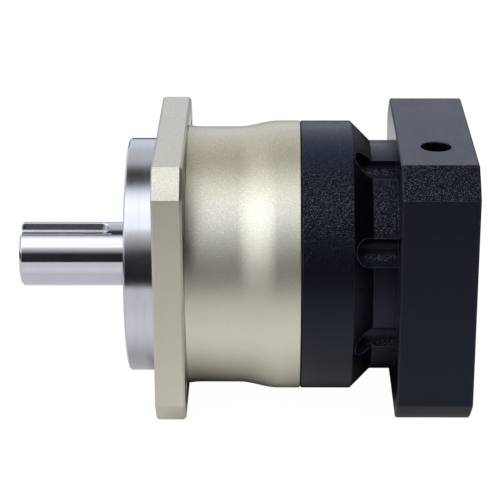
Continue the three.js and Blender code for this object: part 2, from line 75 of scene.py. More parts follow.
def around(count, radius, first):
    """(y, z) of evenly spaced places on a circle, the first at an angle in degrees."""
    angles = [math.radians(first + 360 / count * k) for k in range(count)]
    return [(radius * math.cos(a), radius * math.sin(a)) for a in angles]


JOINT_SCREWS = around(8, 40.4, 22.5)
ADAPTER_SCREWS = around(4, 30.6, 0)


# ------------------------------------------------------------------ geometry
def link(name, mesh):
    ob = bpy.data.objects.new(name, mesh)
    bpy.context.scene.collection.objects.link(ob)
    return ob


def make(name, verts, faces):
    """Object from points in millimetres."""
    mesh = bpy.data.meshes.new(name)
    mesh.from_pydata([(x * MM, y * MM, z * MM) for x, y, z in verts], [], faces)
    bm = bmesh.new()
    bm.from_mesh(mesh)
    bmesh.ops.remove_doubles(bm, verts=bm.verts, dist=1e-8)
    bmesh.ops.recalc_face_normals(bm, faces=bm.faces)
    bm.to_mesh(mesh)
    bm.free()
    return link(name, mesh)


def rounded(points, closed=True, steps=4):
    """Profile with arcs at the points that carry a third number, the corner radius."""
    out, count = [], len(points)
    for i, point in enumerate(points):
        radius = point[2] if len(point) > 2 else 0
        if radius <= 0 or (not closed and i in (0, count - 1)):
            out.append(tuple(point[:2]))
            continue
        corner = Vector(point[:2])
        back = Vector(points[(i - 1) % count][:2]) - corner
        ahead = Vector(points[(i + 1) % count][:2]) - corner
        back_len, ahead_len = back.length, ahead.length
        back.normalize()
        ahead.normalize()
        angle = back.angle(ahead)
        if angle > math.pi - 0.02:  # nearly straight
            out.append(tuple(point[:2]))
            continue
        trim = min(radius / math.tan(angle / 2), 0.48 * back_len, 0.48 * ahead_len)
        radius = trim * math.tan(angle / 2)
        centre = corner + (back + ahead).normalized() * (radius / math.sin(angle / 2))
        start, end = corner + back * trim - centre, corner + ahead * trim - centre
        sweep = math.atan2(start.x * end.y - start.y * end.x, start.dot(end))
        for k in range(steps + 1):
            c, s = math.cos(sweep * k / steps), math.sin(sweep * k / steps)
            out.append((centre.x + start.x * c - start.y * s, centre.y + start.x * s + start.y * c))
    return out


def lathe(name, points, sides):
    """Solid of revolution about X from (x, r[, corner radius]) points: a closed profile,
    or one that starts and ends on the axis."""
    open_ended = points[0][1] == 0 and points[-1][1] == 0
    profile = rounded(points, closed=not open_ended)
    verts, rows = [], []
    for x, r in profile:
        start = len(verts)
        if r <= 1e-9:
            verts.append((x, 0, 0))
            rows.append([start] * sides)
        else:
            turns = [TAU * i / sides for i in range(sides)]
            verts += [(x, r * math.cos(t), r * math.sin(t)) for t in turns]
            rows.append(list(range(start, start + sides)))
    faces = []
    for j in range(len(profile) - 1 if open_ended else len(profile)):
        row, following = rows[j], rows[(j + 1) % len(profile)]
        for i in range(sides):
            k = (i + 1) % sides
            face = list(dict.fromkeys((row[i], row[k], following[k], following[i])))
            if len(face) > 2:
                faces.append(face)
    return make(name, verts, faces)


def loft(name, rings, axis="X"):
    """Closed solid through rings, each (list of (u, v), place along the axis), with flat ends."""
    verts = [(w, u, v) if axis == "X" else (u, v, w) for ring, w in rings for u, v in ring]
    count = len(rings[0][0])
    faces = []
    for a in range(0, (len(rings) - 1) * count, count):
        for i in range(count):
            k = (i + 1) % count
            faces.append([a + i, a + k, a + count + k, a + count + i])
    faces.append(list(range(count)))
    faces.append(list(range(len(verts) - count, len(verts))))
    return make(name, verts, faces)


def circle(radius, sides, u=0, v=0, turn=0):
    angles = [turn + TAU * i / sides for i in range(sides)]
    return [(u + radius * math.cos(a), v + radius * math.sin(a)) for a in angles]


def rod(start, end, radius, at, sides, axis="X", lead_start=0, lead_end=0, past=0.0):
    """Cylinder along an axis. The leads flare its ends to cut chamfers of that size,
    reaching their full radius `past` short of each end."""
    profile = [(start, radius + lead_start)]
    if lead_start:
        profile += [(start + past, radius + lead_start), (start + past + lead_start, radius)]
    if lead_end:
        profile += [(end - past - lead_end, radius), (end - past, radius + lead_end)]
    profile.append((end, radius + lead_end))
    return loft("rod", [(circle(r, sides, *at), w) for w, r in profile], axis)


def box(x_range, y_range, z_range):
    (y0, y1), (z0, z1) = y_range, z_range
    return loft("box", [([(y0, z0), (y1, z0), (y1, z1), (y0, z1)], x) for x in x_range])


def turned_square(half, side_r, top_r, steps=22, flat=10):
    """Square of half-width `half` whose turned corners meet its sides at radius side_r
    and its top and bottom at top_r."""
    out = []
    for k in range(4):
        quarter = k * math.pi / 2
        r0, r1 = (side_r, top_r) if k % 2 == 0 else (top_r, side_r)
        t0 = quarter + math.acos(half / r0)
        t1 = quarter + math.pi / 2 - math.acos(half / r1)
        for i in range(steps + 1):
            t, r = t0 + (t1 - t0) * i / steps, r0 + (r1 - r0) * i / steps
            out.append((r * math.cos(t), r * math.sin(t)))
        t2 = quarter + math.pi / 2 + math.acos(half / r1)
        u0, v0 = r1 * math.cos(t1), r1 * math.sin(t1)
        u1, v1 = r1 * math.cos(t2), r1 * math.sin(t2)
        for i in range(1, flat):
            out.append((u0 + (u1 - u0) * i / flat, v0 + (v1 - v0) * i / flat))
    return out


def square_block(name, side_r, top_r, x0, x1, chamfer0, chamfer1):
    """Turned square from x0 to x1 with chamfered ends whose edges are slightly rounded."""
    softening, inset, run = 0.12, 4, 6  # edge radius; guide lengths past the chamfer

    def end(x, chamfer, sign):
        return rounded([(x, -inset), (x, -chamfer, softening), (x + sign * chamfer, 0, softening),
                        (x + sign * run, 0)], closed=False, steps=3)[1:-1]

    stations = end(x0, chamfer0, 1) + end(x1, chamfer1, -1)[::-1]
    return loft(name, [(turned_square(SQUARE_HALF + off, side_r + off, top_r + off), x)
                       for x, off in stations])


def boolean(ob, tools, operation="DIFFERENCE"):
    """Joins the tools into one, applies it to ob and removes it."""
    mesh = bpy.data.meshes.new("tool")
    bm = bmesh.new()
    for tool in tools:
        bm.from_mesh(tool.data)
    bm.to_mesh(mesh)
    bm.free()
    for tool in tools:
        bpy.data.objects.remove(tool)
    joined = link("tool", mesh)
    modifier = ob.modifiers.new("cut", "BOOLEAN")
    modifier.operation = operation
    modifier.solver = "EXACT"
    modifier.object = joined
    evaluated = ob.evaluated_get(bpy.context.evaluated_depsgraph_get())
    baked = bpy.data.meshes.new_from_object(evaluated)
    ob.modifiers.clear()
    ob.data = baked
    baked.name = ob.name
    bpy.data.objects.remove(joined)


def place(ob, at=(0, 0, 0), angle=0.0, axis="X"):
    shift = Matrix.Translation([c * MM for c in at])
    ob.data.transform(shift @ Matrix.Rotation(angle, 4, axis))
    return ob


def dress(ob, body, node, finish):
    bm = bmesh.new()
    bm.from_mesh(ob.data)
    bmesh.ops.dissolve_degenerate(bm, dist=1e-8, edges=bm.edges)
    bmesh.ops.recalc_face_normals(bm, faces=bm.faces)
    bm.to_mesh(ob.data)
    bm.free()
    ob.data.shade_smooth()
    ob.data.set_sharp_from_angle(angle=math.radians(30))
    normals = ob.modifiers.new("normals", "WEIGHTED_NORMAL")
    normals.keep_sharp = True
    normals.weight = 50
    ob.data.materials.clear()
    ob.data.materials.append(MATERIALS[finish])
    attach(ob, body)
    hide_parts(node)


# ------------------------------------------------------------- shader wiring
class Nodes:
    """Short calls that add shader nodes; inputs may be numbers, colours or sockets."""

    def __init__(self, tree):
        self.tree = tree
        tree.nodes.clear()

    def add(self, kind, **settings):
        node = self.tree.nodes.new(kind)
        for key, value in settings.items():
            setattr(node, key, value)
        return node

    def put(self, socket, value):
        if isinstance(value, bpy.types.NodeSocket):
            self.tree.links.new(value, socket)
        else:
            socket.default_value = value

    def made(self, kind, *inputs, **settings):
        """First output of a new node with its first inputs filled."""
        node = self.add(kind, **settings)
        for socket, value in zip(node.inputs, inputs):
            self.put(socket, value)
        return node.outputs[0]

    def math(self, operation, a, b=0.0, clamp=False):
        return self.made("ShaderNodeMath", a, b, 0.0, operation=operation, use_clamp=clamp)

    def times(self, product, *factors, clamp=False):
        for factor in factors:
            product = self.math("MULTIPLY", product, factor, clamp)
        return product

    def plus(self, a, b):
        return self.math("ADD", a, b)

    def minus(self, a, b, clamp=False):
        return self.math("SUBTRACT", a, b, clamp)

    def length(self, a, b):
        return self.math("SQRT", self.plus(self.times(a, a), self.times(b, b)))

    def dimmed(self, value, mask, strength=None):
        """value times 1 - mask * strength."""
        if strength is not None:
            mask = self.times(mask, strength)
        return self.times(value, self.minus(1.0, mask))

    def ramp(self, value, start, end, low=0.0, high=1.0, kind="LINEAR"):
        """Goes from low to high as value goes from start to end."""
        return self.made("ShaderNodeMapRange", value, start, end, low, high,
                         clamp=True, interpolation_type=kind)

    def fall(self, value, start, end):
        return self.ramp(value, start, end, low=1.0, high=0.0)

    def band(self, value, start, full, fading, end):
        """1 from full to fading, 0 outside start to end."""
        return self.times(self.ramp(value, start, full), self.fall(value, fading, end))

    def ease_in(self, value, start, end):
        return self.ramp(value, start, end, kind="SMOOTHSTEP")

    def ease_out(self, value, start, end):
        return self.minus(1.0, self.ease_in(value, start, end))

    def ease_band(self, value, start, full, fading, end):
        return self.times(self.ease_in(value, start, full), self.ease_out(value, fading, end))

    def spread(self, noise, low, high):
        """A noise's usual range stretched from low to high."""
        return self.ramp(noise, 0.3, 0.7, low, high)

    def tone(self, first, first_vary, second, second_vary):
        """Brightness about 1, varied by two noises."""
        return self.plus(self.spread(first, 1 - first_vary, 1 + first_vary),
                         self.spread(second, -second_vary, second_vary))

    def curve(self, position, stops):
        """Grey value through (position from 0 to 1, value) stops."""
        node = self.add("ShaderNodeValToRGB")
        self.put(node.inputs[0], position)
        elements = node.color_ramp.elements
        while len(elements) > 1:
            elements.remove(elements[0])
        for i, (stop, value) in enumerate(stops):
            element = elements[0] if i == 0 else elements.new(stop)
            element.position = stop
            element.color = (value, value, value, 1)
        return node.outputs[0]

    def mix(self, mask, base, over, strength=None):
        if strength is not None:
            mask = self.times(mask, strength)
        node = self.add("ShaderNodeMix", data_type="RGBA")
        for i, value in ((0, mask), (6, base), (7, over)):
            self.put(node.inputs[i], value)
        return node.outputs[2]

    def split(self, vector):
        node = self.add("ShaderNodeSeparateXYZ")
        self.put(node.inputs[0], vector)
        return node.outputs

    def geometry(self, output):
        return self.add("ShaderNodeNewGeometry").outputs[output]


class Surface(Nodes):
    """A material with one Principled shader, in object coordinates."""

    def __init__(self, name):
        self.material = bpy.data.materials.new(name)
        self.material.use_nodes = True
        super().__init__(self.material.node_tree)
        output = self.add("ShaderNodeOutputMaterial")
        self.shader = self.add("ShaderNodeBsdfPrincipled")
        self.put(output.inputs[0], self.shader.outputs[0])
        self.place = self.add("ShaderNodeTexCoord").outputs["Object"]

    def noise(self, scale, detail=2.0, roughness=0.5, at=None):
        node = self.add("ShaderNodeTexNoise")
        for key, value in (("Vector", at or self.place), ("Scale", scale), ("Detail", detail),
                           ("Roughness", roughness)):
            self.put(node.inputs[key], value)
        return node.outputs["Fac"]

    def tinted(self, rgb, brightness):
        node = self.add("ShaderNodeVectorMath", operation="SCALE")
        self.put(node.inputs[0], rgb)
        self.put(node.inputs[3], brightness)
        return node.outputs[0]

    def turning(self):
        """(x, r, slight twist) about the gear axis, for marks left by turning."""
        x, y, z = self.split(self.place)
        twist = 0.0006  # per radian, so that rings don't close exactly
        return self.made("ShaderNodeCombineXYZ", x, self.length(y, z),
                         self.times(self.math("ARCTAN2", z, y), twist))

    def soft_edge(self, radius=0.00015):
        return self.made("ShaderNodeBevel", radius, samples=4)

    def bump(self, height, distance, strength=1.0, soften=True):
        node = self.add("ShaderNodeBump")
        settings = {"Strength": strength, "Distance": distance, "Height": height}
        if soften:
            settings["Normal"] = self.soft_edge()
        for key, value in settings.items():
            self.put(node.inputs[key], value)
        return node.outputs[0]

    def edge_wear(self, radius, patches, least):
        """Up to 1 on worn outside edges, broken up by patches (scale, start, end); 0 on faces."""
        scale, start, end = patches
        turned_away = self.add("ShaderNodeVectorMath", operation="DOT_PRODUCT")
        self.put(turned_away.inputs[0], self.soft_edge(radius))
        self.put(turned_away.inputs[1], self.geometry("Normal"))
        edges = self.ramp(turned_away.outputs["Value"], 0.985, 0.80)
        return self.times(edges, self.ramp(self.noise(scale), start, end, low=least))

    def shade(self, base, metallic, roughness, normal, **others):
        inputs = {"Base Color": base, "Metallic": metallic, "Roughness": roughness,
                  "Normal": normal, **others}
        for key, value in inputs.items():
            self.put(self.shader.inputs[key], value)
        return self.material


# ----------------------------------------------------------------- materials
def champagne():
    """Fine blasted and anodised aluminium."""
    m = Surface("champagne_anodised")
    grain = m.noise(scale=3400.0, roughness=0.6)
    fine = m.noise(scale=5200.0, detail=1.0)
    cloud = m.noise(scale=55.0, detail=3.0, roughness=0.55)
    color = m.tinted((0.560, 0.535, 0.450), m.tone(fine, 0.07, cloud, 0.015))
    wear = m.edge_wear(radius=0.0004, patches=(900.0, 0.35, 0.6), least=0.2)
    # Painted reflection: a deeper, warmer tint on faces seen at a slant, most of all on faces that
    # look up, standing in for the warm reflection there.
    up = m.split(m.geometry("Normal"))[2]
    slant = m.add("ShaderNodeLayerWeight")
    slant.inputs["Blend"].default_value = 0.5
    painted_warm_tint = m.times(m.ramp(up, 0.62, 0.93), m.ramp(up, 0.9975, 0.9995, low=1.0, high=0.25))
    painted_warm_tint = m.math("MAXIMUM", painted_warm_tint, m.ramp(slant.outputs["Facing"], 0.25, 0.7, high=0.4))
    color = m.mix(painted_warm_tint, color, (0.560, 0.510, 0.365, 1))
    # Painted glints of the lamp: pale specks on faces that look up
    glint_speck = m.ramp(m.noise(scale=3300.0, detail=1.0), 0.48, 0.68)
    glint_speck = m.times(glint_speck, m.ramp(up, 0.05, 0.50, low=0.05, high=0.55))
    color = m.mix(glint_speck, color, (0.84, 0.85, 0.84, 1))
    # The flange's corner keeps the lamp off the housing right behind it.
    x = m.split(m.geometry("Position"))[0]
    back = FLANGE_BACK * MM
    near = m.times(m.fall(x, back, (FLANGE_BACK + 8.5) * MM), m.ramp(x, back - 0.0003, back))
    facing = m.times(m.ramp(up, 0.24, 0.40), m.ramp(up, 0.66, 0.95, low=1.0, high=0.35))
    shade = m.times(m.times(near, near), facing)
    color = m.mix(shade, color, (0.15, 0.125, 0.09, 1), strength=0.85)
    color = m.mix(wear, color, (0.80, 0.78, 0.70, 1), strength=0.5)
    normal = m.bump(m.plus(grain, m.times(fine, 0.5)), distance=0.00007)
    return m.shade(
        base=color, metallic=m.minus(0.91, m.times(wear, 0.45)),
        roughness=m.spread(cloud, low=0.325, high=0.355), normal=normal,
        **{"Coat Weight": 0.35, "Coat Roughness": 0.17, "Coat IOR": 1.5, "Coat Normal": normal})


def black_blasted():
    """Blasted aluminium, black anodised, with fine bright specks where it faces a lamp."""
    m = Surface("black_anodised")
    grain = m.noise(scale=2100.0, roughness=0.65)
    fine = m.noise(scale=3600.0, detail=1.0)
    cloud = m.noise(scale=60.0, detail=3.0)
    tone = m.plus(m.ramp(grain, 0.35, 0.75, low=0.8, high=1.25), m.spread(cloud, -0.1, 0.1))
    color = m.tinted((0.0018, 0.0024, 0.0042), tone)
    wear = m.edge_wear(radius=0.00035, patches=(700.0, 0.38, 0.62), least=0.45)
    up = m.split(m.geometry("Normal"))[2]
    # Painted sheen: faces that look up are made lighter and bluer
    color = m.mix(m.ramp(up, 0.78, 0.99), color, (0.012, 0.017, 0.036, 1))
    color = m.mix(wear, color, (0.34, 0.345, 0.37, 1), strength=0.38)
    # Specks: round dots of random brightness, dim on the sides
    dots = m.add("ShaderNodeTexVoronoi")
    m.put(dots.inputs["Vector"], m.place)
    m.put(dots.inputs["Scale"], 2500.0)
    glint_speck = m.times(m.fall(dots.outputs["Distance"], 0.15, 0.46),
                    m.times(dots.outputs["Color"], 1.1))
    glint_speck = m.times(glint_speck, m.times(m.ramp(up, 0.15, 0.55, low=0.05),
                                   m.ramp(up, 0.80, 0.97, low=1.0, high=0.5)))
    tint = m.mix(m.times(glint_speck, 1.5, clamp=True), (0.60, 0.69, 1.0, 1), (0.84, 0.90, 1.0, 1))
    level = m.plus(m.ramp(up, 0.10, 0.55, low=0.38, high=0.15), m.times(glint_speck, 2.6))
    return m.shade(
        base=color, metallic=0.0, roughness=m.spread(cloud, low=0.16, high=0.21),
        normal=m.bump(m.plus(grain, m.times(fine, 0.5)), distance=0.00015),
        **{"IOR": 1.40, "Specular Tint": tint, "Specular IOR Level": level})


def turned_steel():
    """Bare steel with the fine rings a lathe tool leaves."""
    m = Surface("turned_steel")
    rings = m.turning()
    lines = m.noise(scale=3600.0, detail=3.0, roughness=0.65, at=rings)
    bands = m.noise(scale=420.0, at=rings)
    smear = m.noise(scale=120.0, detail=3.0)
    return m.shade(
        base=m.tinted((0.545, 0.548, 0.600), m.tone(lines, 0.05, bands, 0.03)), metallic=1.0,
        roughness=m.plus(m.spread(smear, 0.13, 0.19), m.spread(lines, -0.02, 0.03)),
        normal=m.bump(m.plus(lines, m.times(bands, 1.5)), distance=0.000010, strength=0.6))


def ground_steel():
    """Hardened shaft, cylindrically ground, with its milled keyway."""
    m = Surface("ground_steel")
    rings = m.turning()
    lines = m.noise(scale=6500.0, roughness=0.6, at=rings)
    bands = m.noise(scale=300.0, at=rings)
    smear = m.noise(scale=90.0, detail=3.0)
    color = m.tinted((0.565, 0.572, 0.640), m.tone(lines, 0.03, smear, 0.02))
    # Place across the keyway and height above the axis, in metres
    x, y, z = m.split(m.place)
    cosine, sine = 0.9736, 0.2284  # of the keyway's turn
    across = m.plus(m.times(y, cosine), m.times(z, sine))
    height = m.minus(m.times(z, cosine), m.times(y, sine))
    # Painted highlight: pale, less metallic strips on the keyway's seat by the far wall and along
    # its near rim, where the lit seat and the lip rubbed by deburring catch the light.
    seat = m.band(height, 0.0071, 0.0072, 0.0079, 0.0080)
    painted_lit_strip = m.band(across, 0.00225, 0.00235, 0.00315, 0.00320)
    faint_painted_lit_strip = m.times(m.band(across, 0.00170, 0.00180, 0.00200, 0.00210), 0.7)
    painted_lit_strip = m.plus(painted_lit_strip, faint_painted_lit_strip)
    rim = m.times(m.ramp(height, 0.0100, 0.0102),
                  m.times(m.ramp(across, -0.0036, -0.0033, high=0.6),
                          m.fall(across, -0.0029, -0.0028)))
    lip = m.plus(m.times(seat, painted_lit_strip), rim)
    lip = m.times(lip, m.fall(x, -0.0452, -0.0447), clamp=True)
    # The slot's walls and seat are milled, and their colour is darkened: painted shade in the slot.
    slot = m.times(m.band(height, 0.0069, 0.0070, 0.0098, 0.0100),
                   m.band(across, -0.0031, -0.0030, 0.0030, 0.0031))
    slot = m.times(slot, m.minus(1.0, lip, clamp=True))
    color = m.mix(slot, color, (0.05, 0.055, 0.07, 1), strength=0.35)
    # Painted highlight on the keyway's lit seat and lip
    color = m.mix(lip, color, (0.93, 0.93, 0.95, 1))
    return m.shade(
        base=color, metallic=m.minus(0.98, m.times(lip, 0.78)),
        roughness=m.spread(smear, low=0.07, high=0.11),
        normal=m.bump(m.plus(lines, m.times(bands, 2.0)), distance=0.0000040, strength=0.5))


def plain_metal(name, rgb, roughness, scale, depth, vary, metallic):
    m = Surface(name)
    grain = m.noise(scale=scale, detail=3.0, roughness=0.6)
    cloud = m.noise(scale=80.0, detail=3.0)
    return m.shade(
        base=m.tinted(rgb, m.tone(grain, vary, cloud, vary / 2)), metallic=metallic,
        roughness=m.spread(cloud, roughness * 0.85, roughness * 1.2),
        normal=m.bump(grain, distance=depth, strength=0.6))


def rubber():
    """Black seal rubber with faint mould rings."""
    m = Surface("seal_rubber")
    grain = m.noise(scale=1800.0, detail=3.0, roughness=0.6)
    mould = m.noise(scale=900.0, detail=1.0, at=m.turning())
    return m.shade(
        base=m.tinted((0.016, 0.016, 0.017), m.spread(grain, low=0.8, high=1.25)), metallic=0.0,
        roughness=m.spread(grain, low=0.5, high=0.68),
        normal=m.bump(m.plus(grain, m.times(mould, 0.8)), 0.00003, strength=0.6, soften=False))


# name, colour, roughness, grain scale, grain depth, brightness variation, metallic
PLAIN_METALS = [
    ("gear_steel", (0.33, 0.34, 0.36), 0.26, 2600.0, 0.000012, 0.05, 1.0),
    ("bearing_steel", (0.60, 0.61, 0.64), 0.12, 3000.0, 0.000004, 0.03, 1.0),
    ("brass_cage", (0.62, 0.42, 0.16), 0.32, 1800.0, 0.000012, 0.05, 1.0),
    ("bronze", (0.48, 0.30, 0.13), 0.34, 1800.0, 0.000012, 0.05, 1.0),
    ("black_oxide", (0.006, 0.0065, 0.008), 0.32, 2400.0, 0.00002, 0.12, 0.0),
    ("spring_steel", (0.10, 0.105, 0.12), 0.30, 2400.0, 0.00001, 0.08, 1.0),
]
MATERIALS = {
    "champagne": champagne(),
    "black_anodised": black_blasted(),
    "bare_steel": turned_steel(),
    "ground_steel": ground_steel(),
    **{row[0]: plain_metal(*row) for row in PLAIN_METALS},
    "rubber": rubber(),
}


# -------------------------------------------------------------------- pieces
# Profiles are (x, r[, corner radius]).
def output_housing():
    """Square flange with a round body that flares out to the joint."""
    lip_x, lip_rise, lip_run = FLANGE_BACK + 0.45, 0.40, 4.4  # raised root behind the flange
    root = [(lip_x + lip_run * k / 12, BODY_R + lip_rise * (1 - k / 12) ** 2)
            for k in range(1, 12)]
    flare = []
    for k in range(1, 12):
        t = k / 12
        flare.append((FLARE_START + (FLARE_END - FLARE_START) * t,
                      BODY_R + (RING_R - BODY_R) * (t * t * (3 - 2 * t))))
    body = lathe("body", [
        (FLANGE_BACK - 3, 0), (FLANGE_BACK - 3, BODY_R - 0.1),
        (FLANGE_BACK + 0.3, BODY_R - 0.1, 0.1), (lip_x, BODY_R + lip_rise, 0.06), *root,
        (FLANGE_BACK + 4.85, BODY_R), (FLARE_START, BODY_R), *flare,
        (FLARE_END, RING_R), (JOINT, RING_R, 0.3), (JOINT, 0)], SIDES)
    housing = square_block("output_housing_shell", 57.8, 58.45, FLANGE_FACE, FLANGE_BACK,
                           chamfer0=0.6, chamfer1=0.85)
    boolean(housing, [body], "UNION")
    boolean(housing, [lathe("bore", [
        (FLANGE_FACE - 1, 0), (FLANGE_FACE - 1, 27.6), (-1.95, 27.6), (-1.95, 25), (-0.3, 25),
        (-0.3, 31.5), (4.3, 31.5), (4.3, 36.6), (JOINT - 0.5, 36.6), (JOINT, 37.1),
        (JOINT + 1, 37.1), (JOINT + 1, 0)], 128)])
    holes = [rod(FLANGE_FACE - 1, FLANGE_BACK + 1, 3.3, at, 64,
                 lead_start=0.4, lead_end=0.4, past=1.0) for at in around(4, 50, 45)]
    holes += [rod(7, JOINT + 1, 2.5, at, 32, lead_end=0.4, past=1.0) for at in JOINT_SCREWS]
    boolean(housing, holes)
    dress(housing, "housing", "output_housing", "champagne")


def bearing_cover():
    """Turned pilot on the output side of the flange."""
    cover = lathe("bearing_cover_turned", [
        (PILOT_FACE, SEAL_BORE_R, 0.3), (PILOT_FACE, PILOT_R - 0.5, 0.08),
        (PILOT_FACE + 0.5, PILOT_R, 0.08), (FLANGE_FACE, PILOT_R), (FLANGE_FACE, 27.4),
        (-27.9, 27.4), (-27.9, 25.7), (-26.0, 25.7), (-26.0, 27.4), (-24.1, 27.4, 0.2),
        (-24.1, 24), (-29, 24), (-29, 21), (-30.6, 21), (-30.6, SEAL_BORE_R)], SIDES)
    dress(cover, "housing", "front_bearing_cover", "bare_steel")


def keyway_outline(grow):
    """(x, y) of the keyway, grown by a margin on its sides and round end."""
    half = KEY_HALF + grow
    turns = [math.radians(t) for t in range(-90, 91, 6)]
    end = [(KEY_END - KEY_HALF + half * math.cos(t), half * math.sin(t)) for t in turns]
    return [(SHAFT_TIP - 1, -half)] + end + [(SHAFT_TIP - 1, half)]


def output_shaft():
    """Shaft, collar and a disc with three bosses."""
    shaft = lathe("output_shaft_ground", [
        (SHAFT_TIP, 0), (SHAFT_TIP, SHAFT_R - 0.8, 0.1), (SHAFT_TIP + 0.8, SHAFT_R, 0.15),
        (COLLAR_FACE, SHAFT_R, 0.6), (COLLAR_FACE, COLLAR_R - 0.4, 0.1),
        (COLLAR_FACE + 0.4, COLLAR_R, 0.1), (-25.7, COLLAR_R), (-25.7, 16.6), (-24.05, 16.6),
        (-24.05, COLLAR_R), (-1.95, COLLAR_R, 0.1), (-1.95, 20), (0, 20), (0, 29.5, 0.3),
        (4, 29.5, 0.3), (4, 6), (1, 6), (1, 0)], 192)
    bosses = around(3, 23.6, 150)
    boolean(shaft, [rod(3.5, 15.95, 4.8, at, 48) for at in bosses], "UNION")
    cuts = []
    for boss, disc_hole in zip(bosses, around(3, 18, 90)):
        cuts += [rod(7, 17, 2.1, boss, 32), rod(-0.5, 4.5, 3.6, disc_hole, 48)]
    cuts.append(lathe("tip_bore", [
        (SHAFT_TIP - 1, 0), (SHAFT_TIP - 1, 5.2), (SHAFT_TIP, 4.6), (SHAFT_TIP + 2.1, 3.4),
        (SHAFT_TIP + 19, 3.4), (SHAFT_TIP + 21, 0)], 64))
    # Straight walls, then a chamfer out to the surface: (margin, height above the axis)
    walls = [(0, KEY_FLOOR), (0, 10.45), (0.75, 11.2), (0.75, 14.0)]
    keyway = loft("keyway", [(keyway_outline(grow), z) for grow, z in walls], axis="Z")
    cuts.append(place(keyway, angle=math.radians(KEY_TURN)))
    boolean(shaft, cuts)
    dress(shaft, "output", "output_shaft", "ground_steel")


def input_housing():
    """Ring, cone and neck between the joint and the motor adapter."""
    ring = lathe("input_housing_shell", [
        (15.9, 31), (15.9, 36.4, 0.2), (16.6, 36.4), (16.6, 34.6), (18.6, 34.6), (18.6, 36.4),
        (JOINT, 36.4), (JOINT, RING_R - 0.62, 0.06), (JOINT + 0.62, RING_R, 0.12),
        (RING_END, RING_R, 0.25), (CONE_END, NECK_R, 0.15), (ADAPTER_FACE, NECK_R),
        (ADAPTER_FACE, SEAL_BORE_R, 0.2), (27, SEAL_BORE_R), (27, 20), (24, 20), (24, 31)], SIDES)
    boolean(ring, [rod(JOINT_SEAT, ADAPTER_FACE + 1, 4.75, at, 72) for at in JOINT_SCREWS])
    cuts = [rod(JOINT - 1, JOINT_SEAT + 1, 2.75, at, 32) for at in JOINT_SCREWS]
    cuts += [rod(39, ADAPTER_FACE + 1, 2.55, at, 32) for at in ADAPTER_SCREWS]
    cuts.append(lathe("groove", [(36.1, 22), (37.7, 22), (37.7, 24.8), (36.1, 24.8)], 96))
    boolean(ring, cuts)
    dress(ring, "housing", "input_housing", "black_anodised")


def adapter_flange():
    """Square block that takes the motor."""
    block = square_block("adapter_flange_block", 57.75, 57.3, ADAPTER_FACE, ADAPTER_BACK,
                         chamfer0=0.5, chamfer1=0.5)
    boolean(block, [lathe("bore", [
        (ADAPTER_FACE - 1, 0), (ADAPTER_FACE - 1, 25.2), (ADAPTER_BACK - 4, 25.2),
        (ADAPTER_BACK - 4, 35), (ADAPTER_BACK - 0.6, 35), (ADAPTER_BACK, 35.6),
        (ADAPTER_BACK + 1, 35.6), (ADAPTER_BACK + 1, 0)], 160)])
    # Hole in the top above the clamp screw, and the four motor screw holes
    cuts = [rod(5, SQUARE_HALF + 1, 4.95, (CLAMP_X, CLAMP_Y), 72, axis="Z",
                lead_end=0.25, past=1.0)]
    cuts += [rod(ADAPTER_BACK - 16, ADAPTER_BACK + 1, 2.6, at, 48, lead_end=0.35, past=1.0)
             for at in around(4, 45, 45)]
    boolean(block, cuts)
    steps = [(2.75, ADAPTER_FACE - 1), (2.75, ADAPTER_SEAT), (4.6, ADAPTER_SEAT),
             (4.6, ADAPTER_BACK)]
    boolean(block, [loft("step_hole", [(circle(r, 48, *at), x) for r, x in steps])
                    for at in ADAPTER_SCREWS])
    dress(block, "housing", "motor_adapter_flange", "black_anodised")


def socket_screw(name, length):
    """Screw with its head from x = 0 to HEAD_H and its threaded shank towards -X."""
    profile = [(-length, 0), (-length, SHANK_R - 0.5)]
    x = -length + 0.5
    while x < -1.6:
        profile += [(x, SHANK_R - 0.45), (x + THREAD_PITCH * 0.45, SHANK_R),
                    (x + THREAD_PITCH * 0.55, SHANK_R)]
        x += THREAD_PITCH
    profile += [(-1.3, SHANK_R - 0.1), (0, SHANK_R - 0.1, 0.15), (0, HEAD_R - 0.25, 0.1),
                (0.25, HEAD_R), (HEAD_H, HEAD_R, 0.55), (HEAD_H, 0)]
    screw = lathe(name, profile, 48)
    corner = KEY_FLATS / math.sqrt(3)
    socket = [(corner * 0.3, HEAD_H * 0.3), (corner, HEAD_H * 0.45), (corner, HEAD_H - 0.25),
              (corner + 0.3, HEAD_H + 0.05), (corner + 0.3, HEAD_H + 1)]
    boolean(screw, [loft("socket", [(circle(r, 6, turn=math.pi / 6), x) for r, x in socket])])
    return screw


def screw_set(master, name, seat, places, turn):
    """Copies of a screw, each turned a little further than the last."""
    for i, (y, z) in enumerate(places):
        screw = link(f"{name}_fine_{i + 1}", master.data.copy())
        place(screw, (seat + SEAT_GAP, y, z), turn * i)
        dress(screw, "housing", f"{name}_{i + 1}", "black_oxide")


def fasteners():
    adapter_screw = socket_screw("screw_master", 25)
    joint_screw = socket_screw("short_screw_master", 20)
    screw_set(joint_screw, "housing_screw", JOINT_SEAT, JOINT_SCREWS, turn=0.35)
    screw_set(adapter_screw, "adapter_screw", ADAPTER_SEAT, ADAPTER_SCREWS, turn=0.5)
    clamp = socket_screw("clamp_screw_fine", 18)
    place(clamp, (CLAMP_X, CLAMP_Y, CLAMP_SEAT + SEAT_GAP), -math.pi / 2, "Y")
    dress(clamp, "input", "clamp_screw", "black_oxide")
    bpy.data.objects.remove(adapter_screw)
    bpy.data.objects.remove(joint_screw)


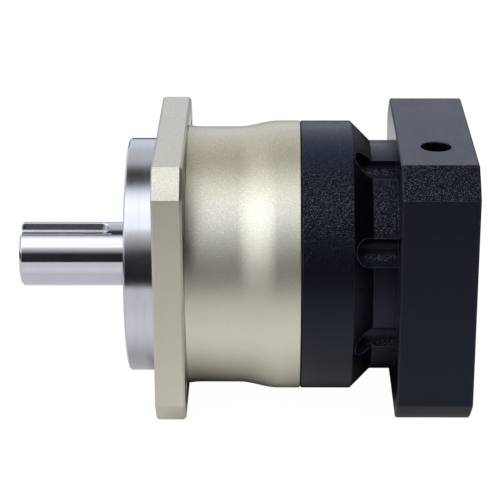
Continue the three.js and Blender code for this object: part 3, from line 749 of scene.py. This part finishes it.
def lip_seal(name, node, start, shaft_r):
    end, outer_r = start + 7, 23.5
    seal = lathe(name, [
        (start, shaft_r + 2.6, 0.2), (start, outer_r, 0.35), (end, outer_r, 0.5),
        (end, shaft_r + 2.0, 0.2), (start + 2.6, shaft_r + 2.0, 0.4),
        (start + 2.2, shaft_r + 0.1, 0.1), (start + 1.9, shaft_r + 0.1, 0.1),
        (start + 1.3, shaft_r + 1.2, 0.3), (start + 0.5, shaft_r + 0.15, 0.1),
        (start + 0.1, shaft_r + 0.15, 0.1), (start + 0.2, shaft_r + 1.4, 0.4)], 160)
    dress(seal, "housing", node, "rubber")


def sun_teeth():
    """Outline of the sun gear with involute flanks."""
    count, module, backlash, undercut = 12, 0.6, 0.09, 0.06
    pressure = math.radians(20)
    pitch_r = 3.6
    base_r = module * count / 2 * math.cos(pressure)

    def involute(angle):
        return math.tan(angle) - angle

    flank = []  # (radius, half-angle of the tooth), root to tip
    for i, offset in enumerate((-0.7, -0.25, -0.1, 0, 0.2, 0.35, 0.5)):
        r = pitch_r + offset
        half = (math.pi * module / 2 - backlash) / (module * count) + involute(pressure)
        half -= 0 if r <= base_r else involute(math.acos(base_r / r))
        flank.append((r, half - (undercut if i == 0 else 0)))
    out = []
    for k in range(count):
        centre = TAU * k / count
        for r, angle in [(r, centre - w) for r, w in flank] + [
                (r, centre + w) for r, w in reversed(flank)]:
            out.append((r * math.cos(angle), r * math.sin(angle)))
    return out


def sun_hub():
    """Sun gear and slotted clamp hub in one piece."""
    hub = lathe("sun_gear_clamp_hub", [
        (15.9, 0), (15.9, 2.7), (17.2, 4.4), (24.6, 4.4), (24.6, 17.4, 0.2), (27.0, 17.4),
        (27.0, HUB_R), (36.15, HUB_R), (36.15, 14.3), (37.45, 14.3), (37.45, HUB_R),
        (55, HUB_R, 0.2), (55, 13.6), (71.2, 13.6, 0.4), (71.2, 10.1, 0.1), (70.6, 9.5),
        (35, 9.5), (33, 6), (33, 0)], 128)
    teeth = sun_teeth()
    boolean(hub, [loft("teeth", [(teeth, 4.25), (teeth, 16.2)])], "UNION")
    slot, full = (-0.6, 0.6), (-16, 16)
    boolean(hub, [box((56, 72), slot, full)])
    boolean(hub, [box((56, 72), full, slot)])
    dress(hub, "input", "sun_gear_hub", "gear_steel")


def clamp_collar():
    """Ring around the hub, split on its -Y side and crossed by the clamp screw."""
    collar = lathe("clamp_collar_split", [
        (57.25, 13.8, 0.3), (70.05, 13.8, 0.3), (70.05, 22.6, 0.5), (57.25, 22.6, 0.5)], 160)
    boolean(collar, [box((55, 72), (-24, -14), (-1.1, 1.1))])
    boolean(collar, [rod(-13.5, 30, 2.7, (CLAMP_X, CLAMP_Y), 48, axis="Z")])
    boolean(collar, [rod(CLAMP_SEAT, 30, 4.6, (CLAMP_X, CLAMP_Y), 64, axis="Z")])
    dress(collar, "input", "clamp_collar", "black_oxide")


output_housing()
bearing_cover()
output_shaft()
input_housing()
adapter_flange()
fasteners()
lip_seal("output_lip_seal", "output_shaft_seal", -37.9, COLLAR_R + 0.05)
lip_seal("input_lip_seal", "input_shaft_seal", 41, HUB_R + 0.05)
sun_hub()
clamp_collar()

# --------------------------------------------------- CAD nodes left as they are
# Each gets its finish from the record's slot, or else from the first word found in its name.
FINISH_BY_WORD = [
    ("o_ring", "rubber"), ("cage", "brass_cage"), ("washer", "bronze"),
    ("circlip", "spring_steel"), ("bearing", "bearing_steel"), ("pin", "bearing_steel"),
    ("sleeve", "bearing_steel"), ("screw", "black_oxide"), ("spacer", "bare_steel"),
]


def finish_cad_nodes():
    record = frame["record"].get("materials", {})
    slots = record.get("slots", []) if isinstance(record, dict) else []
    slot_of = {node: slot.get("name") for slot in slots for node in slot.get("nodes", [])}
    for node, ob in frame["nodes"].items():
        if ob.hide_render:
            continue
        finish = slot_of.get(node)
        if finish is None:
            finish = next((f for word, f in FINISH_BY_WORD if word in node), "gear_steel")
        ob.data.materials.clear()
        ob.data.materials.append(MATERIALS[finish])


finish_cad_nodes()

# ----------------------------------------------------------------- the studio
# Brightness by height angle: degrees above the horizon on the camera's side, linear value.
# It runs from the floor's edge over the overhead lamp to the far wall.
LAMP_BY_HEIGHT = [
    (-158, 0.60), (-10, 0.012), (20.5, 0.012), (24, 0.11), (26, 0.23), (29, 0.38), (34, 0.58),
    (41, 0.92), (44.6, 1.1), (45.6, 2.0), (48, 2.0), (50, 1.60), (60, 1.68), (66, 1.85),
    (72, 1.82), (78, 1.60), (84, 1.20), (90, 0.58), (94.5, 0.14), (98, 0.035), (108, 0.035),
    (112, 0.11), (115.5, 0.26), (121, 0.56), (127, 0.74), (140, 0.76), (150, 0.84),
    (160, 0.94), (174, 0.88), (202, 0.70),
]
HEIGHT_SHIFT, HEIGHT_SPAN = 160.0, 364.0  # fit the angles to the curve's 0 to 1
CURVE_PEAK = 2.0  # values are stored divided by this
CAMERA_TILT = 22.0  # degrees the camera looks down


def studio_world(scene):
    """Plain white for diffuse light; glossy rays find the lamps."""
    world = bpy.data.worlds.new("studio")
    scene.world = world
    world.use_nodes = True
    w = Nodes(world.node_tree)
    # Direction in the camera's own axes, so that the lamps keep their place beside the camera.
    side, up, depth = w.split(w.add("ShaderNodeTexCoord").outputs["Camera"])
    height = w.times(w.math("ARCTAN2", up, w.times(depth, -1.0)), 180 / math.pi)
    height = w.plus(height, CAMERA_TILT)

    # The overhead lamp hangs a little askew: its edges stand higher on the right.
    askew = w.times(w.ease_in(side, -0.07, 0.03), w.ease_out(height, 99.0, 122.0))
    askew = w.times(askew, w.ease_in(height, 2.0, 26.0))
    tilted = w.minus(height, w.times(askew, 10.0))
    position = w.math("DIVIDE", w.plus(tilted, HEIGHT_SHIFT), HEIGHT_SPAN)
    base = w.times(w.curve(position, [((a + HEIGHT_SHIFT) / HEIGHT_SPAN, v / CURVE_PEAK)
                                      for a, v in LAMP_BY_HEIGHT]), CURVE_PEAK)

    # The lamp is brighter to the left; two more soft lights stand low and high on the left.
    overhead = w.ease_band(height, 40.0, 50.0, 88.0, 97.0)
    left = w.ease_out(side, -0.48, -0.04)
    gain = w.plus(1.0, w.times(left, overhead, 0.36))
    low_left = w.times(w.ease_band(height, -30.0, 14.0, 42.0, 58.0),
                       w.minus(1.25, w.times(w.ease_in(side, -0.48, -0.15), 1.25)))
    high_left = w.times(w.ease_band(height, 80.0, 96.0, 106.0, 134.0),
                        w.times(w.ease_out(side, -0.42, -0.16), 1.15))
    value = w.plus(w.times(base, gain), w.plus(low_left, high_left))
    # A weak fill on the right, past the lamp
    fill = w.times(w.ease_band(height, 88.0, 100.0, 112.0, 126.0), w.ease_in(side, -0.06, 0.0))
    value = w.plus(value, w.times(fill, 0.22))
    # The lamp ends on the right and is a little weaker right of the middle.
    value = w.dimmed(value, w.times(overhead, w.ease_in(side, 0.16, 0.46)), strength=0.9)
    value = w.dimmed(value, w.times(overhead, w.ease_in(side, -0.05, 0.02)), strength=0.10)
    # The far right of the set is dark.
    value = w.dimmed(value, w.ease_in(side, 0.35, 0.62), strength=0.88)

    cool = w.math("MAXIMUM", w.ease_in(height, 128.0, 158.0), w.ease_out(side, -0.80, -0.55))
    hue = w.mix(cool, (1.0, 1.0, 1.0, 1), (0.965, 1.0, 1.09, 1))
    hue = w.mix(overhead, hue, (0.975, 1.0, 1.04, 1))  # the lamp is a little cool too
    glossy = w.made("ShaderNodeBackground", hue, value)
    white = w.made("ShaderNodeBackground", (1, 1, 1, 1), 1.08)
    ray = w.add("ShaderNodeLightPath").outputs["Is Glossy Ray"]
    w.made("ShaderNodeMixShader", ray, white, glossy)
    output = w.add("ShaderNodeOutputWorld")
    w.put(output.inputs[0], w.tree.nodes["Mix Shader"].outputs[0])
    world.cycles.sampling_method = "NONE"


# What glossy faces find on the table, the object's own shadow: mm to either side, value
TABLE_SHADOW = [
    (0, 0.01), (14, 0.015), (19, 0.10), (24, 0.34), (30, 0.54), (40, 0.75), (48, 0.88),
    (58, 0.98), (75, 0.98), (100, 0.90), (200, 0.88),
]
SHADOW_REACH = 200.0


def floor_material():
    """Pale table: nearly white to the camera, and a painted shadow to glossy rays."""
    material = bpy.data.materials.new("studio_floor")
    material.use_nodes = True
    f = Nodes(material.node_tree)
    output = f.add("ShaderNodeOutputMaterial")
    ray = f.add("ShaderNodeLightPath").outputs
    seen, glossy = ray["Is Camera Ray"], ray["Is Glossy Ray"]
    x, y, _ = f.split(f.geometry("Position"))

    def aside():
        return f.math("ABSOLUTE", y)

    # The shadow opens out on both sides; the shaft shades the table less than the housing.
    shadow = f.curve(f.times(aside(), 5.0), [(a / SHADOW_REACH, v) for a, v in TABLE_SHADOW])
    open_end = f.math("MAXIMUM", f.ramp(x, -0.034, -0.026, low=0.58, high=0.0),
                      f.ramp(x, -0.046, -0.038, low=0.80, high=0.0))
    glow = f.math("MAXIMUM", shadow, open_end)
    glow = f.times(glow, f.ramp(x, -0.032, -0.010, low=1.0, high=1.12))
    # The table ends in front of the object.
    edge = f.times(f.ramp(f.length(x, y), 0.285, 0.36), glossy)
    glow = f.dimmed(glow, edge, strength=0.985)
    # Darker in two steps under the input side, and darkest right behind the flange
    input_side = f.plus(f.ramp(x, 0.014, 0.026, high=0.34), f.ramp(x, 0.038, 0.050, high=0.36))
    glow = f.dimmed(glow, f.times(input_side, f.fall(aside(), 0.038, 0.062)))
    behind = f.times(f.ramp(x, -0.027, -0.020, high=0.8), f.fall(x, -0.018, 0.012))
    glow = f.dimmed(glow, f.times(behind, f.fall(aside(), 0.020, 0.048)))

    color = f.mix(seen, (0.70, 0.70, 0.70, 1), (0.04, 0.04, 0.04, 1))
    diffuse = f.made("ShaderNodeBsdfDiffuse", f.mix(glossy, color, (0, 0, 0, 1)))
    emission = f.add("ShaderNodeEmission")
    f.put(emission.inputs[1], f.plus(f.times(seen, 0.985), f.times(glow, glossy)))
    f.put(output.inputs[0], f.made("ShaderNodeAddShader", diffuse, emission.outputs[0]))
    return material


def studio_floor():
    """Plain floor just under the ring's lowest point."""
    half, z = 4000, -RING_R - 0.03
    floor = make("studio_floor", [(-half, -half, z), (half, -half, z), (half, half, z),
                                  (-half, half, z)], [[0, 1, 2, 3]])
    floor.data.materials.append(floor_material())


def add_camera(scene):
    data = bpy.data.cameras.new("camera")
    camera = bpy.data.objects.new("camera", data)
    scene.collection.objects.link(camera)
    right = Vector((0.99992463, 0.0117171, -0.00366747))
    up = Vector((-0.0009742, 0.37348846, 0.92763431))
    forward = Vector((-0.01223895, 0.92756082, -0.37347173))
    matrix = Matrix((right, up, -forward)).transposed().to_4x4()
    matrix.translation = Vector((10.42657, -622.03623, 251.89784)) * MM
    camera.matrix_world = matrix
    data.lens = 139.919
    data.sensor_width = 36.0
    data.clip_start = 0.01
    data.clip_end = 50.0
    scene.camera = camera


scene = bpy.context.scene
studio_world(scene)
studio_floor()
scene.view_settings.view_transform = "Standard"
scene.view_settings.look = "None"
add_camera(scene)
